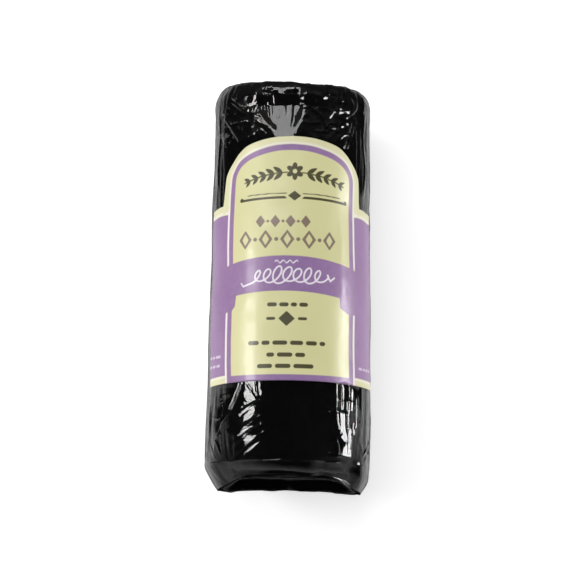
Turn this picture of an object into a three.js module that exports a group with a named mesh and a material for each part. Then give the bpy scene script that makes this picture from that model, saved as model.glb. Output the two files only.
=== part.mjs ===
// A 200 g log of ash-coated fresh goat cheese, sealed in tight clear film, with a die-cut front label.
// Millimetres, +Z up. The log lies on its flattened underside along Y, label up. +Y is the end
// above the label's arch, -Y is the end below the label. Origin: centre of the footprint box, on the table.
import * as THREE from "three";

// ---- driving sizes, mm ----
const BODY_NEAR = -51.6; // where the straight body ends and the near end begins to round
const BODY_FAR = 52.6; // the same at the far end
const HALF_WIDTH_NEAR = 23.6; // the log is a little thicker at its near end
const HALF_WIDTH_FAR = 22.3;
const AXIS_NEAR = 22.2; // height of the widest level over the table
const AXIS_FAR = 21.2;
const CROWN_NEAR = 22.9; // from the widest level up to the crown
const CROWN_FAR = 20.8;
const FLAT_SHARE = 0.955; // the belly is cut by the table at this share of its depth

const NEAR_RIM_Y = -56.4; // crease over the top edge of the near end
const NEAR_SLANT = -0.2; // the near face runs further out towards +X
const NEAR_SHIFT = 0.7; // and its middle sits this far towards +X
const NEAR_LOWER_Y = -54.8; // crease along the bottom edge of the near end
const NEAR_EAR_Y = -58.7; // tips of the two film corners of the near end
const NEAR_POLE_Y = -57.5; // middle of the seal line between the corners
const NEAR_RIM_SHARE = 0.82; // size of the near end's face beside the full section
const NEAR_EAR_SHARE = 0.865; // the same at the corners
const EAR_WIDTH = 4.0; // how sharply the rim runs out into the corners

const FAR_RIM_Y = 57.45; // edge of the far end's face
const FAR_POLE_Y = 57.65;
const FAR_SLANT = -0.026; // the far face is cut slightly askew across X
const FAR_RIM_SHARE = 0.83;
const PLEATS = 11; // gathers of film on the far end's face
const PLEAT_DEPTH = 0.4;

const LABEL_GAP = 0.15; // adhesive and rounding, between film and label
const LABEL_THICK = 0.25;
const LABEL_NEAR_Y = -29.05; // lower edge of the label
const LABEL_NEAR_BOW = 0.5; // how much that edge falls away at the label's corners
const LABEL_HALF = 30.4; // arc length from the label's middle line to its side edges
const LABEL_OFFSET = 0.3; // the label sits this far off the crown line, towards +X
const SHOULDER_DROP = 0.8; // how much the upper edge of the side panels falls away towards the sides
// Outline of the arch: [arc length from the middle line, station], then the foot where the side panels start.
const ARCH = [
  [0, 41.05], [3.5, 40.95], [6.2, 40.68], [8.6, 40.24], [10.5, 39.8], [12.1, 39.36], [13.5, 38.9],
  [14.5, 38.45], [15.7, 37.7], [17.2, 36.5], [18.4, 35.2], [19.7, 33.8], [20.8, 32.5], [21.6, 31.3],
  [22.1, 30.1], [22.3, 28.6], [22.4, 25.8], [22.6, 23.6], [22.95, 21.95],
];

const ROUND = 64; // facets round the pack
const SIDE_ROWS = 24; // stations along the straight body
const CAP_ROWS = 8; // stations round each end's edge
const FACE_ROWS = 5; // stations across each end's face

const clamp01 = (t) => Math.min(1, Math.max(0, t));
const smooth = (t) => t * t * (3 - 2 * t);
const mix = (a, b, t) => a + (b - a) * t;
const along = (y) => clamp01((y - BODY_NEAR) / (BODY_FAR - BODY_NEAR));

// Slow unevenness of a hand-filled log, mm.
const lumps = (theta, y) =>
  0.16 * Math.sin(y * 0.083 + 1.1) * Math.cos(theta + 0.6) +
  0.13 * Math.sin(y * 0.19 + 2.3 * Math.sin(theta)) +
  0.1 * Math.cos(2 * theta + y * 0.06);

// Cross-section at station y: theta is 0 at the crown and turns towards +X. grow moves it outwards.
function section(theta, y, grow = 0) {
  const t = along(y);
  const a = mix(HALF_WIDTH_NEAR, HALF_WIDTH_FAR, t);
  const axis = mix(AXIS_NEAR, AXIS_FAR, t);
  const c = Math.cos(theta),
    s = Math.sin(theta);
  const b = c > 0 ? mix(CROWN_NEAR, CROWN_FAR, t) : axis / FLAT_SHARE;
  const out = grow + lumps(theta, y) * smooth(clamp01((c + 0.9) / 0.5));
  // outward direction of the ellipse
  let nx = s / a,
    nz = c / b;
  const n = Math.hypot(nx, nz);
  nx /= n;
  nz /= n;
  return [a * s + nx * out, Math.max(0, axis + b * c + nz * out), axis];
}

// How strongly angle theta belongs to the left or right corner of the near end, 0 to 1.
const ear = (theta) => Math.pow(Math.abs(Math.sin(theta)), EAR_WIDTH);
// Station of the crease round the near end's face.
const nearRim = (theta) => {
  const upper = smooth(clamp01((Math.cos(theta) + 0.6) / 1.2));
  return mix(
    mix(NEAR_LOWER_Y, NEAR_RIM_Y, upper),
    NEAR_EAR_Y,
    ear(theta),
  ) + NEAR_SLANT * Math.sin(theta);
};

// Rings from the near pole to the far pole: each is [share of the section, station of the section,
// y(theta)], where the share may depend on theta too.
function rings() {
  const list = [];
  const nearShare = (th) => mix(NEAR_RIM_SHARE, NEAR_EAR_SHARE, ear(th));
  // near end's face, from the middle out to the rim
  for (let i = 1; i <= FACE_ROWS; i++) {
    const q = i / FACE_ROWS;
    list.push([(th) => nearShare(th) * q, BODY_NEAR, (th) => mix(NEAR_POLE_Y, nearRim(th), q * q)]);
  }
  // near end's rounded edge, from the rim out to the body
  for (let i = 1; i <= CAP_ROWS; i++) {
    const q = i / CAP_ROWS,
      turn = (q * Math.PI) / 2;
    list.push([
      (th) => mix(nearShare(th), 1, mix(Math.sin(turn), q, 0.8 * ear(th))),
      BODY_NEAR,
      (th) => {
        const round = mix(nearRim(th), BODY_NEAR, 1 - Math.cos(turn));
        const straight = mix(nearRim(th), BODY_NEAR - 1.2 * Math.sin(q * Math.PI), q);
        return mix(round, straight, 0.8 * ear(th)); // the corners are stretched flat, not rounded
      },
    ]);
  }
  for (let i = 1; i < SIDE_ROWS; i++) {
    const y = mix(BODY_NEAR, BODY_FAR, i / SIDE_ROWS);
    list.push([() => 1, y, () => y]);
  }
  // far end's rounded edge
  for (let i = 0; i <= CAP_ROWS; i++) {
    const turn = ((i / CAP_ROWS) * Math.PI) / 2,
      q = Math.pow(Math.sin(turn), 0.92);
    list.push([
      () => mix(FAR_RIM_SHARE, 1, Math.pow(Math.cos(turn), 0.92)),
      BODY_FAR,
      (th) => mix(BODY_FAR, FAR_RIM_Y, q) + farFace(th, FAR_RIM_SHARE) * q * q * q,
    ]);
  }
  for (let i = FACE_ROWS - 1; i >= 1; i--) {
    const q = i / FACE_ROWS;
    list.push([
      () => FAR_RIM_SHARE * q,
      BODY_FAR,
      (th) => mix(FAR_POLE_Y, FAR_RIM_Y, q * q) + farFace(th, FAR_RIM_SHARE * q),
    ]);
  }
  return list;
}

// Slant and pleats of the far face, at a share of the section.
function farFace(theta, share) {
  const gather = Math.sin((Math.PI * share) / FAR_RIM_SHARE); // none at the middle, none at the rim
  return (
    FAR_SLANT * HALF_WIDTH_FAR * share * Math.sin(theta) +
    0.5 * PLEAT_DEPTH * gather * Math.cos(PLEATS * theta + 0.8)
  );
}

// A closed mesh from vertices and triangles.
function geometryOf(points, faces) {
  const g = new THREE.BufferGeometry();
  g.setAttribute("position", new THREE.Float32BufferAttribute(points.flat(), 3));
  g.setIndex(faces.flat());
  g.computeVertexNormals();
  return g;
}

function packGeometry() {
  const points = [],
    faces = [],
    list = rings();
  const nearAxis = section(0, BODY_NEAR)[2],
    farAxis = section(0, BODY_FAR)[2];
  points.push([NEAR_SHIFT, NEAR_POLE_Y, nearAxis]);
  for (const [shareOf, station, yOf] of list)
    for (let j = 0; j < ROUND; j++) {
      const th = (j / ROUND) * 2 * Math.PI;
      const [x, z, axis] = section(th, station),
        share = shareOf(th);
      const y = yOf(th),
        shift = NEAR_SHIFT * smooth(clamp01((BODY_NEAR - y) / 4));
      points.push([x * share + shift, y, axis + (z - axis) * share]);
    }
  points.push([0, FAR_POLE_Y, farAxis]);
  const last = points.length - 1,
    at = (i, j) => 1 + i * ROUND + (j % ROUND);
  for (let j = 0; j < ROUND; j++) {
    faces.push([0, at(0, j + 1), at(0, j)]);
    for (let i = 0; i + 1 < list.length; i++) {
      faces.push([at(i, j), at(i + 1, j + 1), at(i + 1, j)]);
      faces.push([at(i, j), at(i, j + 1), at(i + 1, j + 1)]);
    }
    faces.push([at(list.length - 1, j), at(list.length - 1, j + 1), last]);
  }
  return geometryOf(points, faces);
}

// Far edge of the label at arc length p from its middle line.
function labelFarEdge(p) {
  const d = Math.abs(p),
    [foot, shoulder] = ARCH[ARCH.length - 1];
  if (d >= foot) return shoulder - SHOULDER_DROP * smooth(clamp01((d - foot) / (LABEL_HALF - foot)));
  const i = Math.max(1, ARCH.findIndex(([q]) => q > d));
  const [p0, y0] = ARCH[i - 1],
    [p1, y1] = ARCH[i];
  return mix(y0, y1, (d - p0) / (p1 - p0));
}

// Angle at which the arc length from the crown line, measured at mid-label, is u.
const ARC = (() => {
  const table = [[0, 0]];
  let [px, pz] = section(0, 0),
    run = 0;
  for (let i = 1; i <= 400; i++) {
    const th = (i / 400) * 2.2;
    const [x, z] = section(th, 0);
    run += Math.hypot(x - px, z - pz);
    table.push([run, th]);
    [px, pz] = [x, z];
  }
  return table;
})();
function angleOf(u) {
  const d = Math.abs(u);
  const i = Math.max(1, ARC.findIndex(([run]) => run >= d));
  const [r0, a0] = ARC[i - 1],
    [r1, a1] = ARC[i];
  return Math.sign(u) * mix(a0, a1, (d - r0) / (r1 - r0));
}

function labelGeometry() {
  const half = [];
  for (let i = 0; i + 1 < ARCH.length; i++) {
    half.push(ARCH[i][0]);
    if (ARCH[i + 1][0] - ARCH[i][0] > 1.7) half.push((ARCH[i][0] + ARCH[i + 1][0]) / 2);
  }
  const foot = ARCH[ARCH.length - 1][0];
  for (let i = 0; i <= 5; i++) half.push(mix(foot, LABEL_HALF, i / 5));
  const columns = [...half.slice(1).map((p) => -p).reverse(), ...half];
  const rows = 14,
    wide = columns.length;
  const points = [];
  for (const grow of [LABEL_GAP, LABEL_GAP + LABEL_THICK])
    for (const p of columns) {
      const near = LABEL_NEAR_Y - LABEL_NEAR_BOW * (p / LABEL_HALF) ** 2,
        far = labelFarEdge(p);
      for (let i = 0; i <= rows; i++) {
        const y = mix(near, far, i / rows);
        const [x, z] = section(angleOf(p + LABEL_OFFSET), y, grow);
        points.push([x, y, z]);
      }
    }
  const at = (k, j, i) => k * wide * (rows + 1) + j * (rows + 1) + i;
  const faces = [];
  const quad = (a, b, c, d) => faces.push([a, b, c], [a, c, d]);
  for (let j = 0; j + 1 < wide; j++)
    for (let i = 0; i < rows; i++) {
      quad(at(1, j, i), at(1, j + 1, i), at(1, j + 1, i + 1), at(1, j, i + 1));
      quad(at(0, j, i), at(0, j, i + 1), at(0, j + 1, i + 1), at(0, j + 1, i));
    }
  for (let j = 0; j + 1 < wide; j++) {
    quad(at(0, j, 0), at(0, j + 1, 0), at(1, j + 1, 0), at(1, j, 0));
    quad(at(0, j, rows), at(1, j, rows), at(1, j + 1, rows), at(0, j + 1, rows));
  }
  for (let i = 0; i < rows; i++) {
    quad(at(0, 0, i), at(1, 0, i), at(1, 0, i + 1), at(0, 0, i + 1));
    quad(at(0, wide - 1, i), at(0, wide - 1, i + 1), at(1, wide - 1, i + 1), at(1, wide - 1, i));
  }
  return geometryOf(points, faces);
}

const pack = new THREE.Mesh(
  packGeometry(),
  new THREE.MeshStandardMaterial({ color: 0x0b0b0c, roughness: 0.12, metalness: 0 }),
);
pack.name = "wrapped_log";

const label = new THREE.Mesh(
  labelGeometry(),
  new THREE.MeshStandardMaterial({ color: 0xd2cf98, roughness: 0.38, metalness: 0 }),
);
label.name = "label";

// Centre the footprint box on the origin.
pack.geometry.computeBoundingBox();
const box = pack.geometry.boundingBox;
const shift = [-(box.min.x + box.max.x) / 2, -(box.min.y + box.max.y) / 2, -box.min.z];
const part = new THREE.Group();
part.name = "ash_goat_cheese";
part.add(pack, label);
for (const mesh of [pack, label]) mesh.geometry.translate(...shift);

export default part;
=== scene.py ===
import math
import bpy
import numpy as np
from mathutils import Matrix, Vector


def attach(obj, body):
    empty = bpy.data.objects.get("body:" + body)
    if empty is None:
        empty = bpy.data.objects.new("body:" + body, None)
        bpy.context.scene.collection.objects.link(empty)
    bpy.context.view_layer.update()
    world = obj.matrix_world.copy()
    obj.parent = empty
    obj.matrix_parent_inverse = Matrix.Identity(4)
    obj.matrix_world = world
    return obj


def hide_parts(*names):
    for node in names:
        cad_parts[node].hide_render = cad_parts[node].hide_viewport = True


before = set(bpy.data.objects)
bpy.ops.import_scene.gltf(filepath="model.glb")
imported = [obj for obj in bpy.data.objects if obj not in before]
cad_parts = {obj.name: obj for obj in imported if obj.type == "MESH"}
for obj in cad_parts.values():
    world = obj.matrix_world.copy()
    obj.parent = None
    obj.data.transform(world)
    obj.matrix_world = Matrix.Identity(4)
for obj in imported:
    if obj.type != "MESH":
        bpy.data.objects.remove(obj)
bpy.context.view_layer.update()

MM = 0.001

# ---------------------------------------------------------------- sizes, mm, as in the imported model
BODY_NEAR, BODY_FAR = -51.6, 52.6
HALF_WIDTH_NEAR, HALF_WIDTH_FAR = 23.6, 22.3
AXIS_NEAR, AXIS_FAR = 22.2, 21.2
CROWN_NEAR, CROWN_FAR = 22.9, 20.8
FLAT_SHARE = 0.955
NEAR_RIM_Y, NEAR_LOWER_Y, NEAR_EAR_Y, NEAR_POLE_Y = -56.4, -54.8, -58.7, -57.5
NEAR_SLANT, NEAR_SHIFT = -0.2, 0.7
NEAR_RIM_SHARE, NEAR_EAR_SHARE, EAR_WIDTH = 0.82, 0.865, 4.0
FAR_RIM_Y, FAR_POLE_Y, FAR_SLANT, FAR_RIM_SHARE = 57.45, 57.65, -0.026, 0.83
PLEATS = 11
SHIFT = np.array([0.027, 0.426, 0.0])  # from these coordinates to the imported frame

LABEL_LIFT, LABEL_THICK = 0.15, 0.2
LABEL_NEAR_Y, LABEL_NEAR_BOW, LABEL_HALF, LABEL_OFFSET = -29.05, 0.5, 30.4, 0.3
SHOULDER_DROP = 0.8
ARCH = np.array([
    [0, 41.05], [3.5, 40.95], [6.2, 40.68], [8.6, 40.24], [10.5, 39.8], [12.1, 39.36], [13.5, 38.9],
    [14.5, 38.45], [15.7, 37.7], [17.2, 36.5], [18.4, 35.2], [19.7, 33.8], [20.8, 32.5], [21.6, 31.3],
    [22.1, 30.1], [22.3, 28.6], [22.4, 25.8], [22.6, 23.6], [22.95, 21.95]])


def mix(a, b, t):
    return a + (b - a) * t


def clamp01(t):
    return np.clip(t, 0.0, 1.0)


def smooth(t):
    t = clamp01(t)
    return t * t * (3 - 2 * t)


# ---------------------------------------------------------------- repeatable noise
def _hash(ix, iy, seed):
    n = (ix * 374761393 + iy * 668265263 + seed * 974634777) & 0xFFFFFFFF
    n = ((n ^ (n >> 13)) * 1274126177) & 0xFFFFFFFF
    return ((n ^ (n >> 16)) & 0xFFFF) / 32767.5 - 1.0


def noise(x, y, seed=0):
    """Smooth value noise over a plane, -1 to 1."""
    x, y = np.broadcast_arrays(np.asarray(x, float), np.asarray(y, float))
    ix, iy = np.floor(x).astype(np.int64), np.floor(y).astype(np.int64)
    fx, fy = x - ix, y - iy
    sx, sy = fx**3 * (fx * (fx * 6 - 15) + 10), fy**3 * (fy * (fy * 6 - 15) + 10)
    a, b = _hash(ix, iy, seed), _hash(ix + 1, iy, seed)
    c, d = _hash(ix, iy + 1, seed), _hash(ix + 1, iy + 1, seed)
    return mix(mix(a, b, sx), mix(c, d, sx), sy)


# ---------------------------------------------------------------- the log's surface
def lumps(theta, y):
    return (0.16 * np.sin(y * 0.083 + 1.1) * np.cos(theta + 0.6)
            + 0.13 * np.sin(y * 0.19 + 2.3 * np.sin(theta))
            + 0.10 * np.cos(2 * theta + y * 0.06))


def section(theta, y, grow=0.0):
    """Cross-section at station y: theta is 0 at the crown and turns towards +X."""
    t = clamp01((y - BODY_NEAR) / (BODY_FAR - BODY_NEAR))
    a, axis = mix(HALF_WIDTH_NEAR, HALF_WIDTH_FAR, t), mix(AXIS_NEAR, AXIS_FAR, t)
    c, s = np.cos(theta), np.sin(theta)
    b = np.where(c > 0, mix(CROWN_NEAR, CROWN_FAR, t), axis / FLAT_SHARE)
    out = grow + lumps(theta, y) * smooth((c + 0.9) / 0.5)
    nx, nz = s / a, c / b
    n = np.hypot(nx, nz)
    return a * s + nx / n * out, np.maximum(0.0, axis + b * c + nz / n * out), axis + 0 * theta


def ear(theta):
    return np.abs(np.sin(theta)) ** EAR_WIDTH


def near_rim(theta):
    upper = smooth((np.cos(theta) + 0.6) / 1.2)
    return mix(mix(NEAR_LOWER_Y, NEAR_RIM_Y, upper), NEAR_EAR_Y, ear(theta)) + NEAR_SLANT * np.sin(theta)


def near_share(theta):
    return mix(NEAR_RIM_SHARE, NEAR_EAR_SHARE, ear(theta))


def far_face(theta, share):
    gather = np.sin(np.pi * clamp01(share / FAR_RIM_SHARE))
    wander = 0.6 * np.sin(2 * theta + 1.0) + 0.5 * np.sin(3 * theta + 0.4)
    pleat = 1 - 2 * np.abs(np.sin(0.5 * (PLEATS * theta + wander) + 0.4)) ** 0.8
    return FAR_SLANT * HALF_WIDTH_FAR * share * np.sin(theta) + 0.32 * gather * pleat


def far_corner(theta):
    """The far end's sides stand a little further out than its crown."""
    return 0.8 * np.sin(theta) ** 2 * smooth((np.cos(theta) + 0.5) / 0.5)


def shell(thetas, side_ys, cap_rows, face_rows):
    """Grid of points over the whole closed log, near face to far face. Returns points, for each point the share of the
    section it belongs to, and for each row the zone it lies in."""
    th = thetas[None, :]
    pts, share_of, zone = [], [], []

    def row(share, station, y, kind):
        x, z, axis = section(th, station)
        shift = NEAR_SHIFT * smooth((BODY_NEAR - y) / 4)
        share = share + 0 * th
        pts.append(np.stack([x * share + shift, y + 0 * th, axis + (z - axis) * share], -1)[0])
        share_of.append(share[0])
        zone.append(kind)

    for i in range(1, face_rows + 1):
        q = i / face_rows
        row(near_share(th) * q, BODY_NEAR, mix(NEAR_POLE_Y, near_rim(th), q * q), 0)
    for i in range(1, cap_rows + 1):
        q = i / cap_rows
        turn = q * math.pi / 2
        rnd = mix(near_rim(th), BODY_NEAR, 1 - math.cos(turn))
        flat = mix(near_rim(th), BODY_NEAR - 1.2 * math.sin(q * math.pi), q)
        plain = 0.42 + 0.38 * ear(th)
        row(mix(near_share(th), 1.0, mix(math.sin(turn), q, plain)), BODY_NEAR, mix(rnd, flat, plain), 1)
    for y in side_ys:
        row(1.0, y, y, 2)
    for i in range(cap_rows + 1):
        turn = i / cap_rows * math.pi / 2
        q = math.sin(turn) ** 0.92
        row(mix(FAR_RIM_SHARE, 1.0, abs(math.cos(turn)) ** 0.92 if i < cap_rows else 0.0), BODY_FAR,
            mix(BODY_FAR, FAR_RIM_Y, q) + (far_face(th, FAR_RIM_SHARE) + far_corner(th)) * q**3, 3)
    far_rows = face_rows * 5 // 8
    for i in range(far_rows - 1, 0, -1):
        q = i / far_rows
        row(FAR_RIM_SHARE * q, BODY_FAR, mix(FAR_POLE_Y, FAR_RIM_Y, q * q) + far_face(th, FAR_RIM_SHARE * q)
            + far_corner(th) * q**4, 4)
    return np.array(pts), np.array(share_of), np.array(zone)


def grid_normals(p):
    """Outward normals of a grid that is closed round its second axis."""
    along = np.gradient(p, axis=0)
    wrap = np.concatenate([p[:, -1:], p, p[:, :1]], 1)
    around = (wrap[:, 2:] - wrap[:, :-2]) / 2
    n = np.cross(around, along)
    return n / np.maximum(np.linalg.norm(n, axis=-1, keepdims=True), 1e-9)


def grid_arc(p, thetas):
    """Arc length from the crown line, signed, for each point of a grid whose columns are thetas."""
    step = np.linalg.norm(np.diff(p, axis=1), axis=-1)
    run = np.concatenate([np.zeros((p.shape[0], 1)), np.cumsum(step, 1)], 1)
    zero = int(np.argmin(np.abs(thetas)))
    return run - run[:, zero:zero + 1]


# ---------------------------------------------------------------- folds, creases and dents in the film
def path_distance(u, y, path):
    """Distance to a polyline, how far along it the nearest point lies (0 to 1), and the side it is on."""
    path = np.asarray(path, float)
    seg = np.diff(path, axis=0)
    length = np.hypot(seg[:, 0], seg[:, 1])
    total, done = length.sum(), 0.0
    best = np.full(u.shape, 1e9)
    where = np.zeros(u.shape)
    side = np.ones(u.shape)
    for (x0, y0), (dx, dy), ln in zip(path[:-1], seg, length):
        t = clamp01(((u - x0) * dx + (y - y0) * dy) / (ln * ln))
        ex, ey = u - (x0 + dx * t), y - (y0 + dy * t)
        d = np.hypot(ex, ey)
        near = d < best
        best = np.where(near, d, best)
        where = np.where(near, (done + ln * t) / total, where)
        side = np.where(near, np.sign(dx * (y - y0) - dy * (u - x0)), side)
        done += ln
    return best, where, side


def ridge(u, y, path, width, height, ends=0.18):
    d, t, _ = path_distance(u, y, path)
    taper = smooth(t / ends) * smooth((1 - t) / ends) if ends else 1.0
    return height * taper * np.exp(-((d / width) ** 2))


def tube(u, y, path, half, height, ends=0.0, last=None):
    """A flat-topped pleat with sloping flanks and a slight furrow along each foot."""
    d, t, _ = path_distance(u, y, path)
    taper = smooth(t / ends) * smooth((1 - t) / ends) if ends else 1.0
    high = mix(height, height if last is None else last, t)
    flank = 0.36
    body = 0.25 * high * (1 - clamp01((d - half) / flank))
    furrow = 0.9 * high * np.clip(1 - np.abs(d - half - flank) / flank, 0, 1)
    return taper * (body - furrow)


def pleat(u, y, path, rise, height, reach, ends=0.12):
    """A steep short flank on one side of the path and a long gentle one on the other."""
    d, t, side = path_distance(u, y, path)
    taper = smooth(t / ends) * smooth((1 - t) / ends)
    s = d * side
    return height * taper * np.minimum(clamp01((s + rise) / rise), clamp01(1 - s / reach))


def tent(u, y, path, half, height, ends=0.18):
    """A straight-sided fold: two flat flanks that meet in a sharp edge."""
    d, t, _ = path_distance(u, y, path)
    taper = smooth(t / ends) * smooth((1 - t) / ends) if ends else 1.0
    return height * taper * np.clip(1 - d / half, 0, 1)


def lap(u, y, path, width, height, reach):
    """A step: the film drops sharply on one side of the path and fades back over reach."""
    d, t, side = path_distance(u, y, path)
    taper = smooth(t / 0.15) * smooth((1 - t) / 0.15)
    over = 0.5 + 0.5 * np.tanh(side * d / width)
    return height * taper * over * np.exp(-np.maximum(d, 0) / reach)


# Folds of the near part: kind, path as (arc length from the crown line, station), sizes.
NEAR_FOLDS = [
    ("tube", [(-18.2, -37.2), (-16.0, -33.2), (-13.7, -28.4)], 0.10, 0.25, 0.04),
    ("tent", [(-12.4, -29.4), (-11.2, -31.2), (-10.6, -33.0), (-9.0, -34.2)], 0.55, 0.060, 0.2),
    ("pleat", [(-15.4, -39.3), (-12.8, -37.0), (-11.2, -36.2), (-7.6, -34.2)], 0.42, 0.105, 0.75),
    ("tent", [(-15.0, -39.4), (-13.6, -40.8), (-12.9, -42.6)], 0.45, 0.110, 0.2),
    ("pleat", [(-17.0, -45.6), (-12.6, -42.2), (-7.6, -38.8)], 0.42, 0.105, 1.25),
    ("pleat", [(-17.2, -47.8), (-12.4, -44.4), (-6.7, -40.9)], 0.42, 0.110, 0.85),
    ("pleat", [(-17.0, -50.2), (-11.6, -46.6), (-6.2, -43.2)], 0.42, 0.105, 0.48),
    ("pleat", [(-15.6, -51.4), (-11.0, -48.5), (-7.0, -46.0)], 0.45, 0.100, 0.48),
    ("lap", [(-16.6, -36.9), (-20.8, -40.0), (-24.4, -45.0), (-26.0, -49.5)], 0.28, 0.30, 2.6),
    ("tent", [(-24.9, -44.6), (-23.4, -46.2), (-22.0, -49.6)], 0.45, 0.22, 0.2),
    ("tent", [(-27.6, -46.0), (-26.2, -48.2), (-24.2, -50.8)], 0.45, 0.20, 0.2),
    ("tent", [(-9.6, -28.4), (-9.3, -30.6), (-8.9, -33.4)], 0.50, 0.120, 0.1),
    ("ridge", [(-7.8, -28.6), (-8.0, -31.0), (-7.2, -33.6)], 0.7, 0.10, 0.2),
    ("tent", [(16.8, -27.4), (16.9, -32.5), (16.8, -36.8)], 0.42, 0.110, 0.05),
    ("pleat", [(12.3, -37.4), (14.2, -37.0), (16.4, -37.4)], 0.45, 0.110, 1.0),
    ("tent", [(17.9, -33.6), (18.1, -40.0), (18.3, -43.4)], 0.50, 0.170, 0.1),
    ("tent", [(14.3, -37.8), (14.7, -41.0), (16.6, -44.2)], 0.50, 0.130, 0.12),
    ("tent", [(22.4, -31.0), (22.8, -37.6), (22.0, -43.2)], 0.60, 0.180, 0.15),
    ("tent", [(25.6, -49.4), (28.0, -47.2), (31.6, -44.0)], 0.50, 0.22, 0.15),
    ("tent", [(27.0, -50.8), (29.6, -48.4), (32.8, -46.4)], 0.45, 0.18, 0.15),
    ("tent", [(23.6, -45.0), (25.4, -46.4), (26.4, -49.0)], 0.45, 0.16, 0.2),
    ("ridge", [(-30.5, -50.0), (-28.6, -43.0), (-29.6, -34.0)], 0.60, 0.20, 0.25),
    ("ridge", [(24.4, -33.0), (25.4, -39.0), (24.6, -45.0)], 0.55, 0.14, 0.25),
]
FAR_FOLDS = [
    ("lap", [(-13.6, 54.6), (-9.6, 51.9), (-5.2, 50.0), (-1.0, 50.7), (3.4, 51.2)], 0.26, 0.42, 3.2),
    ("tent", [(-13.0, 53.6), (-9.2, 51.2), (-5.4, 49.6), (-1.0, 50.2), (3.2, 50.7)], 0.50, 0.20, 0.12),
    ("tent", [(-23.4, 48.4), (-20.0, 44.8), (-16.4, 40.4)], 0.45, 0.17, 0.1),
    ("tent", [(19.4, 47.4), (17.6, 43.2), (15.8, 38.9)], 0.40, 0.17, 0.1),
    ("tent", [(20.4, 46.4), (18.6, 42.0), (17.0, 38.6)], 0.36, 0.13, 0.1),
    ("tent", [(11.0, 56.0), (11.8, 52.6), (12.6, 49.6), (10.6, 46.6)], 0.45, 0.20, 0.12),
    ("tent", [(12.6, 49.6), (15.4, 50.6), (19.6, 49.2)], 0.42, 0.18, 0.12),
    ("tent", [(13.0, 48.2), (16.2, 47.4), (20.6, 50.2), (22.6, 53.4)], 0.42, 0.18, 0.12),
    ("tent", [(-9.6, 49.6), (-7.2, 46.0), (-5.0, 42.0)], 0.42, 0.15, 0.12),
    ("tent", [(-11.2, 48.2), (-8.8, 45.2), (-7.2, 42.6)], 0.36, 0.11, 0.2),
    ("tent", [(-12.4, 50.0), (-10.6, 47.2), (-9.4, 45.4)], 0.36, 0.11, 0.2),
    ("ridge", [(-17.4, 52.4), (-15.6, 50.8), (-13.4, 51.2)], 0.34, 0.30, 0.25),
    ("ridge", [(-8.6, 56.4), (-7.4, 55.8), (-6.0, 56.3)], 0.30, 0.28, 0.25),
    ("ridge", [(-20.4, 54.0), (-18.4, 53.2), (-16.8, 54.4)], 0.32, 0.22, 0.25),
    ("ridge", [(11.0, 44.8), (12.0, 44.2), (13.2, 44.7)], 0.28, 0.20, 0.25),
    ("ridge", [(14.0, 42.4), (14.8, 41.8), (15.6, 42.6)], 0.28, 0.24, 0.25),
    ("ridge", [(-12.2, 46.9), (-11.2, 46.2), (-10.2, 46.6)], 0.28, 0.18, 0.25),
    ("tent", [(-20.6, 52.8), (-15.6, 49.6), (-12.8, 46.2)], 0.42, 0.14, 0.15),
    ("tent", [(-18.6, 47.6), (-14.0, 46.6), (-10.8, 43.8)], 0.42, 0.12, 0.2),
    ("tent", [(4.6, 50.4), (8.6, 47.6), (10.4, 43.0)], 0.42, 0.12, 0.15),
    ("tent", [(3.6, 54.4), (7.4, 53.0), (11.0, 53.4)], 0.42, 0.13, 0.2),
    ("ridge", [(-27.6, 52.0), (-26.0, 44.0), (-27.0, 34.0), (-25.6, 25.0)], 0.60, 0.22, 0.2),
    ("ridge", [(26.4, 52.0), (25.0, 44.0), (26.2, 34.0), (25.2, 24.0)], 0.60, 0.22, 0.2),
]


def label_cover(u, y):
    """1 where the label lies over the film, fading to 0 just outside it."""
    p = np.abs(u - LABEL_OFFSET)
    far = np.where(p < 22.95, np.interp(p, ARCH[:, 0], ARCH[:, 1]), 21.6)
    return (smooth((LABEL_HALF + 0.5 - p) / 1.0) * smooth((y - LABEL_NEAR_Y + 0.9) / 0.9)
            * smooth((far + 0.9 - y) / 0.9))


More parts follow.
